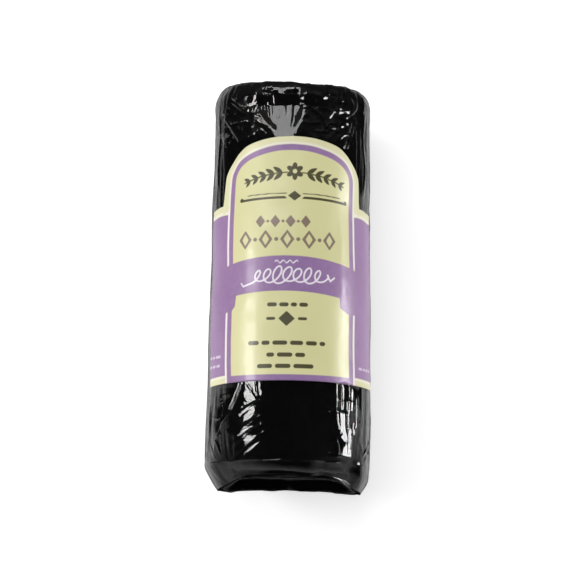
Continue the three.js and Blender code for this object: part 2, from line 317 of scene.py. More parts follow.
def slow_relief(u, y, share):
    """Relief that the cheese and the film share."""
    d = 0.10 * noise(u * 0.11, y * 0.09, 3) + 0.05 * noise(u * 0.25, y * 0.2, 4)
    # the film's flap is drawn down flat behind the arch
    wide = mix(2.3, 6.2, smooth((y - 41.0) / 9.0))
    mid = mix(-2.2, -3.6, smooth((y - 41.0) / 9.0))
    inside = smooth((wide + 1.0 - np.abs(u - mid)) / 2.0)
    inside = inside * smooth((y - 39.6) / 2.0) * smooth((57.2 - y) / 3.6)
    strand = (u + 2.6) / (1.0 + 0.055 * np.maximum(0.0, y - 41.0))
    strands = 0.032 * noise(strand * 1.15 + 0.4, y * 0.03, 51) + 0.020 * noise(strand * 2.7, y * 0.05, 52)
    d = d - 0.118 * np.maximum(0.0, np.minimum(y, 50.4) - 40.6) * inside
    d = d - strands * np.maximum(0.0, np.minimum(y, 48.4) - 40.6) * inside
    turn = smooth((57.2 - y) / 3.6)
    d = d + 0.11 * (np.clip(y, 50.4, 53.6) - 50.4) * smooth((14.0 - np.abs(u + 3.0)) / 4.0) * turn
    d = d - 0.05 * np.maximum(0.0, y - 41.0) * smooth((u - 8.0) / 4.0) * smooth((26.0 - u) / 4.0) * turn
    # soft hollows of the near part
    d = d - 0.10 * np.exp(-(((u + 8.6) / 2.2) ** 2 + ((y + 33.2) / 3.0) ** 2))
    # a groove beside the right-hand pleat, and the crown turning down before it reaches the near end,
    # with a three-cornered patch on the right that stays level
    d = d - 0.44 * clamp01(1 - np.abs(u - 16.8) / 2.3) * smooth((y + 37.6) / 1.2) * smooth((-28.4 - y) / 1.2)
    before = clamp01((-42.9 - y) / 3.2)
    left = smooth((9.0 - u) / 9.0) * smooth((u + 27.0) / 9.0)
    d = d - left * (0.288 * before**2 + 0.18 * np.maximum(0.0, -46.1 - np.maximum(y, -52.2)))
    edge = np.minimum(np.minimum(20.4 - u, 0.87 * (u - 18.7) - 0.49 * (y + 43.8)), 0.1 * (u - 18.0) + y + 50.0)
    level = smooth((edge + 0.2) / 0.4)
    right = smooth((u - 1.0) / 11.0) * smooth((26.5 - u) / 5.0)
    ramp = 0.125 * np.maximum(0.0, -44.8 - np.maximum(y, -52.6))
    ramp = ramp + 0.15 * np.maximum(0.0, -49.6 - np.maximum(y, -53.4))
    d = d - right * (ramp * (1 - level) - level * 0.06 * (u - 18.2))
    return d * smooth((share - 0.3) / 0.4)


def film_relief(u, y, share, zone_side):
    """Relief of the film alone, mm outwards."""
    free = 1 - label_cover(u, y)
    d = np.zeros(u.shape)
    for folds in (NEAR_FOLDS, FAR_FOLDS):
        for kind, path, width, height, last in folds:
            if kind == "tube":
                d += tube(u, y, path, width, height, last, height * 0.42)
            elif kind == "ridge":
                d += ridge(u, y, path, width, height, last)
            elif kind == "tent":
                d += tent(u, y, path, width, height, last)
            elif kind == "pleat":
                d += pleat(u, y, path, width, height, last)
            else:
                d += lap(u, y, path, width, height, last)
    # fine wrinkles: long and narrow down the sides, small and crossed at the far end
    flank = smooth((np.abs(u) - 16.0) / 6.0)
    warp = 1.4 * noise(u * 0.12, y * 0.07, 11)
    long = noise(u * 0.85 + warp, y * 0.075, 12) + 0.6 * noise(u * 1.9 + warp, y * 0.15, 13)
    d += 0.085 * flank * long * (1 - 0.75 * smooth((-46.5 - y) / 4.0))
    d += 0.05 * flank * noise(u * 0.5 + 0.4 * y, y * 0.45, 14) * smooth((-38.0 - y) / 8.0)
    cross = noise(u * 0.42 + y * 0.30, y * 0.42 - u * 0.22, 21)
    crease = 1 - np.abs(noise(u * 0.26 + 0.8 * cross, y * 0.26 + 0.5, 22))
    d += 0.16 * np.maximum(0, crease - 0.86) / 0.14 * smooth((y - 36.0) / 8.0) * (1 - 0.7 * flank)
    calm = 1 - 0.85 * smooth((7.4 - np.abs(u + 3.0)) / 3.0) * smooth((y - 39.0) / 1.5) * smooth((58.0 - y) / 3.0)
    d *= mix(1.0, calm, smooth((y - 36.0) / 2.0))
    d += 0.034 * calm * noise(u * 0.9, y * 0.8, 23) * smooth((y - 34.0) / 6.0)
    crease = 1 - np.abs(noise(u * 0.46 + 0.7 * cross, y * 0.40 + 2.5 + 0.6 * cross, 30))
    d += 0.075 * calm * np.maximum(0, crease - 0.80) / 0.20 * smooth((y - 38.0) / 6.0) * (1 - 0.5 * flank)
    # strands drawn together towards the arch
    fan = (u + 2.6) / (1.0 + 0.055 * np.maximum(0.0, y - 41.0))
    near_fan = smooth((8.5 - np.abs(u + 2.4)) / 5.0) * smooth((y - 39.5) / 2.5) * smooth((51.5 - y) / 3.0)
    d += 0.030 * near_fan * (noise(fan * 1.5, y * 0.07, 26) + 0.5 * noise(fan * 3.1, y * 0.12, 27))
    crease = 1 - np.abs(noise(u * 0.21 + 3.1 + 0.5 * cross, y * 0.17, 24))
    d += (0.08 * np.maximum(0, crease - 0.9) / 0.1 * smooth((-30.0 - y) / 6.0) * smooth((y + 51.2) / 2.4)
          * smooth((np.abs(u) - 7.0) / 5.0))
    d += 0.014 * noise(u * 0.5, y * 0.5, 25)
    d += 0.025 * np.exp(-(((y - 53.6) / 2.0) ** 2)) * (noise(u * 0.8, y * 0.5, 36) + 0.6 * noise(u * 1.7, y * 0.9, 37))
    # small puckers where the side turns into the near end
    d += 0.25 * smooth((u - 29.5) / 3.0) * smooth((y + 30.0) / 4.0) * smooth((24.0 - y) / 6.0)
    turn_in = np.exp(-(((y + 51.4) / 2.2) ** 2))
    d += 0.014 * turn_in * (noise(u * 0.55, y * 0.16, 28) + 0.5 * noise(u * 1.3, y * 0.4, 29))
    return d * free * smooth((share - 0.2) / 0.5)


def seal_height(x, z):
    """Height above or below the flat seal that crosses the near end."""
    return np.abs(z - 22.0 - 0.25 * noise(x * 0.12, 0.5, 35))


def near_hollow(p, share, thetas):
    """The near face falls back behind its rim, and the seal stands out of it from corner to corner."""
    s = share / near_share(thetas[None, :])
    deep = 3.0 * smooth((seal_height(p[..., 0], p[..., 2]) - 0.45) / 1.3) ** 0.7 * smooth((1.0 - s) / 0.32)
    fin = 0.6 * np.exp(-((seal_height(p[..., 0], p[..., 2]) / 0.9) ** 2)) * smooth((1.0 - s) / 0.12)
    return np.where((p[..., 1] < BODY_NEAR) & (s <= 1.0), deep - fin, 0.0)


def end_relief(p, share, zone, thetas):
    """Relief on the two ends: the rims' creases and small puckers."""
    x, z = p[..., 0], p[..., 2]
    th = thetas[None, :] + 0 * x
    near = (zone == 0)[:, None] | (zone == 1)[:, None]
    far = (zone == 3)[:, None] | (zone == 4)[:, None]
    s = share / near_share(th)
    lip = 0.03 * np.exp(-((share - near_share(th)) / 0.016) ** 2) * (0.55 + 0.45 * noise(th * 5.0, s * 2, 31))
    pucker = 0.08 * noise(th * 9.0, s * 2.4, 32) * smooth((s - 0.45) / 0.5)
    h = seal_height(x, z)
    tucks = 0.22 * np.exp(-((h / 6.0) ** 2)) * noise(x * 0.5, z * 0.14, 33) * smooth((1.04 - s) / 0.1)
    d = np.where(near, lip + pucker + tucks, 0.0)
    edge = 0.12 * noise(th * 7.0, share * 9.0, 34) * smooth((share - 0.5) / 0.3) * smooth((1.02 - share) / 0.1)
    return d + np.where(far, edge, 0.0)


# ---------------------------------------------------------------- meshes
def add_mesh(name, verts_mm, quads, tris=(), smooth_faces=True):
    verts = (np.asarray(verts_mm, float) + SHIFT) * MM
    mesh = bpy.data.meshes.new(name)
    quads, tris = np.asarray(quads, np.int32).reshape(-1, 4), np.asarray(tris, np.int32).reshape(-1, 3)
    mesh.vertices.add(len(verts))
    mesh.vertices.foreach_set("co", verts.astype(np.float32).ravel())
    loops = np.concatenate([quads.ravel(), tris.ravel()])
    mesh.loops.add(len(loops))
    mesh.loops.foreach_set("vertex_index", loops)
    mesh.polygons.add(len(quads) + len(tris))
    starts = np.concatenate([np.arange(len(quads)) * 4, len(quads) * 4 + np.arange(len(tris)) * 3])
    mesh.polygons.foreach_set("loop_start", starts.astype(np.int32))
    mesh.polygons.foreach_set("use_smooth", np.full(len(quads) + len(tris), smooth_faces))
    mesh.update(calc_edges=True)
    mesh.validate()
    obj = bpy.data.objects.new(name, mesh)
    bpy.context.scene.collection.objects.link(obj)
    return obj


def closed_log(name, p, near_pole, far_pole):
    rows, cols = p.shape[:2]
    idx = np.arange(rows * cols).reshape(rows, cols)
    nxt = np.roll(idx, -1, 1)
    quads = np.stack([idx[:-1], nxt[:-1], nxt[1:], idx[1:]], -1).reshape(-1, 4)
    a, b = rows * cols, rows * cols + 1
    tris = np.concatenate([
        np.stack([np.full(cols, a), nxt[0], idx[0]], -1),
        np.stack([np.full(cols, b), idx[-1], nxt[-1]], -1)])
    verts = np.concatenate([p.reshape(-1, 3), [near_pole, far_pole]])
    return add_mesh(name, verts, quads, tris)


def theta_columns(fine, coarse, reach=1.72):
    """Angles once round, closely spaced over the upper part."""
    top = np.linspace(-reach, reach, fine)
    under = np.linspace(reach, 2 * math.pi - reach, coarse + 2)[1:-1]
    left = under[under > math.pi] - 2 * math.pi
    right = under[under <= math.pi]
    return np.concatenate([left, top, right])


def log_points(thetas, side_ys, cap_rows, face_rows, film, inset=0.0):
    p, share, zone = shell(thetas, side_ys, cap_rows, face_rows)
    n = grid_normals(p)
    u = grid_arc(p, thetas)
    # on the ends, arc length shrinks with the ring; scaled back, creases run on over the edge
    u = u / np.maximum(share, 0.25)
    y = p[..., 1]
    by_seal = np.where(y < BODY_NEAR - 1.5, smooth(seal_height(p[..., 0], p[..., 2]) / 1.4), 1.0)
    d = slow_relief(u, y, share) - inset * (0.15 + 0.85 * by_seal)
    if film:
        d = d + film_relief(u, y, share, zone) + end_relief(p, share, zone, thetas)
    low = smooth(p[..., 2] / 3.0)  # pressed flat where it rests
    q = p + n * (d * low)[..., None]
    q[..., 1] += near_hollow(p, share, thetas)
    q[..., 2] = np.maximum(q[..., 2], 0.0 if film else 0.3)
    return q


def film_columns(close, wide, under):
    """Angles once round: close together where the folds are, wider over the crown, widest below."""
    top = np.concatenate([
        np.arange(0.0, 0.27, wide), np.arange(0.27, 0.94, close), np.arange(0.94, 1.58, close * 2),
        np.arange(1.58, 1.86, wide)])
    low = np.linspace(1.86, math.pi, under + 1)
    half_turn = np.concatenate([top, low])
    return np.concatenate([-half_turn[1:-1][::-1], half_turn])


thetas = film_columns(0.0084, 0.022, 22)
step = 0.25
side = np.concatenate([
    np.arange(BODY_NEAR + step, -28.0, step),
    np.arange(-28.0, 19.0, 2.0),
    np.arange(19.0, 38.0, step * 3.2),
    np.arange(38.0, BODY_FAR - 0.2, step * 1.2)])
film_pts = log_points(thetas, side, 20, 32, True)
film = closed_log("clear_film", film_pts,
                  (NEAR_SHIFT, NEAR_POLE_Y - 0.6, 22.2), (0.0, FAR_POLE_Y, 21.2))

log_thetas = theta_columns(120, 40)
log_side = np.arange(BODY_NEAR + 0.9, BODY_FAR - 0.4, 0.9)
log_pts = log_points(log_thetas, log_side, 14, 26, False, inset=0.42)
log = closed_log("ash_cheese_log", log_pts,
                 (NEAR_SHIFT, NEAR_POLE_Y - 0.2, 22.2), (0.0, FAR_POLE_Y - 0.5, 21.2))

# ---------------------------------------------------------------- the label
ARC_T = np.linspace(0, 2.3, 700)
_x, _z, _ = section(ARC_T, 0.0)
ARC_U = np.concatenate([[0], np.cumsum(np.hypot(np.diff(_x), np.diff(_z)))])


def angle_of(u):
    return np.sign(u) * np.interp(np.abs(u), ARC_U, ARC_T)


def arch_y(p):
    """Far edge of the label under the arch, smooth through the named points."""
    return np.interp(p, ARCH_FINE[:, 0], ARCH_FINE[:, 1])


def round_off(points, passes=3):
    """Corner cutting, so that a short list of points makes a smooth curve."""
    pts = np.asarray(points, float)
    for _ in range(passes):
        a = pts[:-1] * 0.75 + pts[1:] * 0.25
        b = pts[:-1] * 0.25 + pts[1:] * 0.75
        pts = np.concatenate([pts[:1], np.stack([a, b], 1).reshape(-1, 2), pts[-1:]])
    return pts


ARCH_FINE = round_off(ARCH)
FOOT, SHOULDER = ARCH[-1]


def label_far(p):
    d = np.abs(p)
    over = SHOULDER - SHOULDER_DROP * smooth((d - FOOT) / (LABEL_HALF - FOOT))
    return np.where(d >= FOOT, over, arch_y(d))


def label_near(p):
    return LABEL_NEAR_Y - LABEL_NEAR_BOW * (p / LABEL_HALF) ** 2


half = np.unique(np.round(np.concatenate([
    np.arange(0, 20.6, 0.32), np.arange(20.6, FOOT, 0.22), [FOOT],
    np.arange(FOOT + 0.25, LABEL_HALF - 0.2, 0.36), [LABEL_HALF]]), 3))
left = np.where(half > 27.0, 27.0 + (half - 27.0) * 0.62, half)
cols = np.concatenate([-left[:0:-1], half])
ROWS = 216
t_rows = np.linspace(0, 1, ROWS + 1)
P = cols[:, None] + 0 * t_rows[None, :]
Y = mix(label_near(cols)[:, None], label_far(cols)[:, None], t_rows[None, :])


def label_points(lift):
    th = angle_of(P + LABEL_OFFSET)
    x, z, _ = section(th, Y)
    q = np.stack([x, Y, z], -1)
    x1, z1, _ = section(th, Y, 0.1)
    n = np.stack([x1 - x, 0 * x, z1 - z], -1)
    n /= np.linalg.norm(n, axis=-1, keepdims=True)
    u = P + LABEL_OFFSET
    relief = slow_relief(u, Y, np.ones(u.shape))
    # the paper bridges the film's small folds in long soft waves
    relief = relief + 0.05 * noise(u * 0.16, Y * 0.10, 41) + 0.022 * noise(u * 0.5, Y * 0.35, 42)
    relief = relief + 0.16 * np.exp(-(((u - 15.6) / 2.1) ** 2)) * smooth((Y + 9) / 8) * smooth((24 - Y) / 8)
    # an edge that stands a hair proud at the corners
    relief = relief + 0.10 * smooth((np.abs(P) - 28.6) / 1.8)
    return q + n * (relief + lift)[..., None]


top, under = label_points(LABEL_LIFT + LABEL_THICK), label_points(LABEL_LIFT)
nc, nr = P.shape
ia = np.arange(nc * nr).reshape(nc, nr)
ib = ia + nc * nr
qa = np.stack([ia[:-1, :-1], ia[1:, :-1], ia[1:, 1:], ia[:-1, 1:]], -1).reshape(-1, 4)
qb = np.stack([ib[:-1, :-1], ib[:-1, 1:], ib[1:, 1:], ib[1:, :-1]], -1).reshape(-1, 4)
e1 = np.stack([ib[:-1, 0], ib[1:, 0], ia[1:, 0], ia[:-1, 0]], -1)
e2 = np.stack([ib[:-1, -1], ia[:-1, -1], ia[1:, -1], ib[1:, -1]], -1)
e3 = np.stack([ib[0, :-1], ia[0, :-1], ia[0, 1:], ib[0, 1:]], -1)
e4 = np.stack([ib[-1, :-1], ib[-1, 1:], ia[-1, 1:], ia[-1, :-1]], -1)
label = add_mesh("paper_label", np.concatenate([top.reshape(-1, 3), under.reshape(-1, 3)]),
                 np.concatenate([qa, qb, e1, e2, e3, e4]))

# ---- print, as signed distances in mm on the label's own plane (negative inside a shape)
pp, yy = P, Y


def sd_box(cx, cy, hw, hh, r=0.0, turn=0.0):
    c, s = math.cos(turn), math.sin(turn)
    x, y = (pp - cx) * c + (yy - cy) * s, -(pp - cx) * s + (yy - cy) * c
    qx, qy = np.abs(x) - hw + r, np.abs(y) - hh + r
    return np.hypot(np.maximum(qx, 0), np.maximum(qy, 0)) + np.minimum(np.maximum(qx, qy), 0) - r


def sd_ellipse(cx, cy, a, b, turn=0.0):
    c, s = math.cos(turn), math.sin(turn)
    x, y = (pp - cx) * c + (yy - cy) * s, -(pp - cx) * s + (yy - cy) * c
    k = np.hypot(x / a, y / b)
    g = np.hypot(x / (a * a), y / (b * b))
    return k * (k - 1) / np.maximum(g, 1e-6)


def sd_path(path, half):
    d, _, _ = path_distance(pp, yy, path)
    return d - half


def union(*ds):
    out = ds[0]
    for d in ds[1:]:
        out = np.minimum(out, d)
    return out


def cut(a, b):
    return np.maximum(a, -b)


def window(points, side):
    """Area under an arch given for one half: an exact distance to its outline."""
    pts = round_off(points)
    pts = np.concatenate([pts, [[pts[-1, 0], -60.0]]])
    d, _, _ = path_distance(np.abs(pp), yy, pts)
    top_y = np.interp(np.abs(pp), pts[:-1, 0], pts[:-1, 1])
    inside = (np.abs(pp) < side) & (yy < np.where(np.abs(pp) < pts[-2, 0], top_y, 60.0))
    inside |= (np.abs(pp) < np.interp(yy, pts[::-1][:, 1], pts[::-1][:, 0])) & (yy < pts[0, 1])
    return np.where(inside, -d, d)


W_OUT = window([[0, 38.75], [4, 38.6], [7, 38.1], [9.3, 37.5], [11.5, 36.9], [13.5, 36.1], [15.2, 35.2],
                [16.4, 34.4], [17.5, 33.3], [18.4, 32.0], [19.1, 30.8], [19.5, 29.5], [19.6, 27.5],
                [19.7, 20.7]], 19.7)
W_IN = window([[0, 37.05], [4, 36.9], [6.8, 36.4], [9.2, 35.8], [11.2, 35.25], [13.0, 34.6], [14.4, 33.85],
               [15.6, 33.0], [16.7, 32.0], [17.5, 30.7], [17.95, 29.4], [18.05, 27.0], [18.05, 20.7]], 18.05)
RIB_TOP = 6.5 - 0.0062 * (pp + 1.5) ** 2
RIB_BOTTOM = -3.58 - 0.0046 * (pp + 2.5) ** 2
notch_r = smooth((pp - 14.5) / 0.25)
notch_l = smooth((-16.9 - pp) / 0.25)
RIB_BOTTOM = np.where(pp > 14.5, np.minimum(RIB_BOTTOM, -7.4 - 2.0 * clamp01((pp - 14.5) / 3.6) ** 0.75), RIB_BOTTOM)
RIB_BOTTOM = np.where(pp < -16.9, np.minimum(RIB_BOTTOM, -7.3 - 1.7 * clamp01((-16.9 - pp) / 1.5) ** 0.75), RIB_BOTTOM)
side_edge = np.abs(pp)
s_top = label_far(np.sign(pp) * np.maximum(side_edge, FOOT)) - 2.75
s_bottom = label_near(pp) + 2.25

frame_line = np.maximum(W_OUT, -W_IN)  # the mauve line round the windows
ribbon = np.maximum(np.maximum(yy - RIB_TOP, RIB_BOTTOM - yy), side_edge - 20.6)
foot_line = np.maximum(yy + 27.35, side_edge - 19.7)
sides = np.maximum(np.maximum(20.45 - side_edge, yy - s_top), s_bottom - yy)
mauve = union(frame_line, ribbon, foot_line, sides)

keyline = np.maximum(np.abs(W_OUT - 0.42) - 0.32, yy - 20.8)
keyline = union(np.maximum(keyline, 4.35 - yy), np.maximum(keyline, yy + 9.2))
glow = union(
    np.maximum(np.abs(yy - s_top - 0.5) - 0.42, 20.45 - side_edge),
    np.maximum(np.abs(yy - s_bottom + 0.4) - 0.32, 20.45 - side_edge),
    np.maximum(np.abs(W_OUT - 0.38) - 0.36, 20.4 - yy))

# plain ornament in the places of the print: a garland, rows of lozenges, a looped flourish, dashes
def leaf(x, y0, turn, ln, wd):
    """A pointed leaf from its stalk outwards."""
    c, sn = math.cos(turn), math.sin(turn)
    a = (pp - x) * c + (yy - y0) * sn
    b = -(pp - x) * sn + (yy - y0) * c
    t = clamp01(a / ln)
    half_here = wd * np.sin(np.pi * t ** 0.8)
    return np.where((a > 0) & (a < ln), np.abs(b) - half_here, np.maximum(np.abs(b), np.maximum(-a, a - ln)))


def lozenge(cx, cy, hw, hh):
    return (np.abs(pp - cx) / hw + np.abs(yy - cy) / hh - 1) * (hw * hh / math.hypot(hw, hh))


stem = [(x, 30.6 - 0.0135 * x * x) for x in np.linspace(-14.6, 15.8, 41)]
garland = [sd_path(stem[:18], 0.20), sd_path(stem[-18:], 0.20)]
for k in range(5):
    for sign in (-1, 1):
        x = 0.6 + sign * (3.6 + 2.45 * k)
        y0 = 30.6 - 0.0135 * x * x
        slope = math.atan(-0.027 * x)
        base = slope if sign > 0 else math.pi + slope
        ln = 3.5 - 0.28 * k
        for tilt in (0.62, -0.62):
            garland.append(leaf(x, y0, base + tilt, ln, 0.62 - 0.04 * k))
flower = [sd_ellipse(0.6 + 1.45 * math.cos(a), 30.9 + 1.45 * math.sin(a), 1.15, 0.72, a)
          for a in [math.pi / 2 + i * 2 * math.pi / 6 for i in range(6)]]
flower = cut(union(*flower), sd_ellipse(0.6, 30.9, 0.66, 0.66))
rule_path = [(x, 23.3 - 0.0030 * x * x) for x in np.linspace(-15.4, 16.6, 33)]
rules = union(sd_path(rule_path, 0.36), sd_path([(x, y0 + 1.2) for x, y0 in rule_path[2:-2]], 0.17))
rules = cut(rules, lozenge(0.6, 23.8, 3.0, 2.6))
rules = union(rules, lozenge(0.6, 23.8, 1.9, 1.45),
              sd_ellipse(-15.4, 23.3 - 0.0030 * 15.4**2 + 0.2, 0.62, 0.62),
              sd_ellipse(16.6, 23.3 - 0.0030 * 16.6**2 + 0.2, 0.62, 0.62))


def dashes(line_y, height, x0, x1, seed, gap=0.75, shortest=1.6, longest=4.6):
    """A row of plain round-ended dashes of uneven length."""
    out, x, k = [], x0, 0
    while x1 - x > 0.6:
        r = (float(_hash(np.int64(k), np.int64(seed), 7)) + 1) / 2
        w = shortest + (longest - shortest) * r
        if x1 - (x + w) < shortest + gap:
            w = x1 - x
        out.append(sd_box(x + w / 2, line_y, w / 2, height / 2, height / 2))
        x += w + gap
        k += 1
    return union(*out)


def lozenge_row(line_y, hh, x0, x1, count, heavy):
    """Lozenges with beads between them, open where the row is tall."""
    out = []
    pitch = (x1 - x0) / count
    for i in range(count):
        cx = x0 + (i + 0.5) * pitch
        if i % 2 == 0:
            shape = lozenge(cx, line_y, pitch * 0.66, hh)
            if hh > 2.2:
                shape = cut(shape, lozenge(cx, line_y, pitch * 0.66 - 2.2 * heavy, hh - 2.2 * heavy))
            out.append(shape)
        else:
            out.append(sd_ellipse(cx, line_y, heavy * 1.25, heavy * 1.25))
    return union(*out)


bold = union(
    lozenge(-1.15, -11.5, 2.3, 2.2),
    sd_box(-5.6, -11.5, 1.3, 0.42, 0.42), sd_box(3.3, -11.5, 1.3, 0.42, 0.42))
olive = union(
    *garland, flower, rules,
    dashes(-7.5, 1.15, -6.7, 4.8, 3, 0.6, 1.4, 3.0), bold,
    dashes(-18.4, 1.2, -12.2, 10.0, 2), dashes(-21.8, 1.2, -6.7, 4.2, 8), dashes(-25.0, 1.2, -9.4, 6.6, 6))
brown = union(
    lozenge_row(16.4, 1.85, -10.2, 5.0, 7, 0.34),
    lozenge_row(11.2, 2.75, -15.2, 12.6, 9, 0.46))
# the flourish: slanted loops that grow and shrink
loops, TURNS = [], 8
for i in range(TURNS * 22 + 1):
    a = i / 22.0 * 2 * math.pi
    f = i / (TURNS * 22.0)
    swell = 1.45 + 0.75 * math.sin(math.pi * f) + 0.35 * math.cos(5 * math.pi * f)
    vy = swell * math.cos(a)
    loops.append((-12.6 + 22.6 * f - 1.75 * math.sin(a) * (0.6 + 0.4 * math.sin(math.pi * f)) + 0.34 * vy, 0.75 + vy))
loops = [(-14.9, -0.4), (-14.2, -1.5), (-13.2, -1.3)] + loops[11:] + [(11.3, 0.2), (12.6, 1.5)]
ribbon_curve = lambda x: -0.0052 * (x + 1.5) ** 2
loops = [(x, y0 + 0.25 + ribbon_curve(x)) for x, y0 in loops]
d_loop, _, _ = path_distance(pp, yy, loops)
small = [(-4.6 + 0.28 * i, 4.75 + 0.42 * math.sin(i * 0.95)) for i in range(24)]
white = union(d_loop - 0.24, sd_path(small, 0.17))
tiny = union(
    dashes(-21.4, 0.75, -29.3, -22.6, 2, 0.45, 1.0, 2.2),
    dashes(-24.0, 0.75, -29.3, -22.9, 5, 0.45, 1.0, 2.2),
    dashes(-24.2, 0.75, 22.4, 29.6, 4, 0.45, 1.0, 2.2))

border = union(np.maximum(-W_OUT, 20.4 - yy), 20.2 - side_edge)
for attr, field in (("ink_mauve", mauve), ("ink_border", border), ("ink_glow", glow),
                    ("ink_keyline", keyline), ("ink_olive", olive), ("ink_brown", brown),
                    ("ink_white", white), ("ink_tiny", tiny)):
    layer = label.data.attributes.new(attr, "FLOAT", "POINT")
    layer.data.foreach_set("value", np.concatenate([field.ravel(), field.ravel()]).astype(np.float32))
across = label.data.attributes.new("across_mm", "FLOAT", "POINT")
across.data.foreach_set("value", np.concatenate([P.ravel(), P.ravel()]).astype(np.float32))
face_up = label.data.attributes.new("printed", "FLOAT", "POINT")
face_up.data.foreach_set("value", np.concatenate([np.ones(P.size), np.zeros(P.size)]).astype(np.float32))


# ---------------------------------------------------------------- materials
def new_material(name):
    m = bpy.data.materials.new(name)
    m.use_nodes = True
    m.node_tree.nodes.clear()
    return m, m.node_tree.nodes, m.node_tree.links


def node(nodes, kind, **values):
    n = nodes.new(kind)
    for key, value in values.items():
        setattr(n, key, value)
    return n


def srgb(r, g, b):
    out = []
    for v in (r, g, b):
        v /= 255.0
        out.append(v / 12.92 if v <= 0.04045 else ((v + 0.055) / 1.055) ** 2.4)
    return (*out, 1.0)


def object_noise(nodes, links, scale, detail=3.0, rough=0.55, stretch=None):
    tex = node(nodes, "ShaderNodeTexNoise")
    tex.inputs["Scale"].default_value = scale
    tex.inputs["Detail"].default_value = detail
    tex.inputs["Roughness"].default_value = rough
    co = node(nodes, "ShaderNodeTexCoord")
    if stretch:
        mp = node(nodes, "ShaderNodeMapping")
        mp.inputs["Scale"].default_value = stretch
        links.new(co.outputs["Object"], mp.inputs["Vector"])
        links.new(mp.outputs["Vector"], tex.inputs["Vector"])
    else:
        links.new(co.outputs["Object"], tex.inputs["Vector"])
    return tex


def map_range(nodes, links, value, a, b, c, d):
    m = node(nodes, "ShaderNodeMapRange")
    m.inputs["From Min"].default_value, m.inputs["From Max"].default_value = a, b
    m.inputs["To Min"].default_value, m.inputs["To Max"].default_value = c, d
    links.new(value, m.inputs["Value"])
    return m.outputs["Result"]


# clear film
film_mat, N, L = new_material("clear shrink film")
bsdf = node(N, "ShaderNodeBsdfPrincipled")
bsdf.inputs["Base Color"].default_value = (0.97, 0.98, 0.97, 1)
bsdf.inputs["Transmission Weight"].default_value = 1.0
bsdf.inputs["IOR"].default_value = 1.5
rough_noise = object_noise(N, L, 260.0, 4.0, 0.6)
L.new(map_range(N, L, rough_noise.outputs["Fac"], 0.3, 0.75, 0.012, 0.055), bsdf.inputs["Roughness"])
fine_tex = object_noise(N, L, 900.0, 2.0, 0.5, (1.0, 0.35, 1.0))
bump = node(N, "ShaderNodeBump")
bump.inputs["Strength"].default_value = 0.04
bump.inputs["Distance"].default_value = 0.00010
L.new(fine_tex.outputs["Fac"], bump.inputs["Height"])
L.new(bump.outputs["Normal"], bsdf.inputs["Normal"])
out = node(N, "ShaderNodeOutputMaterial")
L.new(bsdf.outputs["BSDF"], out.inputs["Surface"])
film.data.materials.append(film_mat)
film.visible_shadow = False

# ash rind
ash_mat, N, L = new_material("black ash rind")
bsdf = node(N, "ShaderNodeBsdfPrincipled")
grain = object_noise(N, L, 420.0, 6.0, 0.62)
cloud = object_noise(N, L, 70.0, 3.0, 0.5)
mixed = node(N, "ShaderNodeMath", operation="MULTIPLY")
L.new(grain.outputs["Fac"], mixed.inputs[0])
L.new(cloud.outputs["Fac"], mixed.inputs[1])
ramp = node(N, "ShaderNodeValToRGB")
ramp.color_ramp.elements[0].position, ramp.color_ramp.elements[0].color = 0.16, (0.0004, 0.0004, 0.00045, 1)
ramp.color_ramp.elements[1].position, ramp.color_ramp.elements[1].color = 0.52, (0.0018, 0.0018, 0.0019, 1)
L.new(mixed.outputs["Value"], ramp.inputs["Fac"])
L.new(ramp.outputs["Color"], bsdf.inputs["Base Color"])
bsdf.inputs["Roughness"].default_value = 0.85
bsdf.inputs["Specular IOR Level"].default_value = 0.04
bump = node(N, "ShaderNodeBump")
bump.inputs["Strength"].default_value = 0.5
bump.inputs["Distance"].default_value = 0.0002
L.new(grain.outputs["Fac"], bump.inputs["Height"])
L.new(bump.outputs["Normal"], bsdf.inputs["Normal"])
out = node(N, "ShaderNodeOutputMaterial")
L.new(bsdf.outputs["BSDF"], out.inputs["Surface"])
log.data.materials.append(ash_mat)

# printed label paper
paper, N, L = new_material("printed label paper")
bsdf = node(N, "ShaderNodeBsdfPrincipled")


def attribute(name):
    a = node(N, "ShaderNodeAttribute", attribute_type="GEOMETRY")
    a.attribute_name = name
    return a.outputs["Fac"]


def ink_mask(name, soft=0.09, weight=1.0):
    return map_range(N, L, attribute(name), soft, -soft, 0.0, weight)


def blend(fac, below_color, above_color):
    m = node(N, "ShaderNodeMix", data_type="RGBA")
    L.new(fac, m.inputs[0])
    for value, socket in ((below_color, m.inputs[6]), (above_color, m.inputs[7])):
        if isinstance(value, tuple):
            socket.default_value = value
        else:
            L.new(value, socket)
    return m.outputs[2]


fibre = object_noise(N, L, 650.0, 5.0, 0.6)
wash = object_noise(N, L, 45.0, 2.0, 0.5)
cream = blend(map_range(N, L, wash.outputs["Fac"], 0.3, 0.7, 0.0, 1.0), srgb(212, 209, 155), srgb(218, 214, 163))
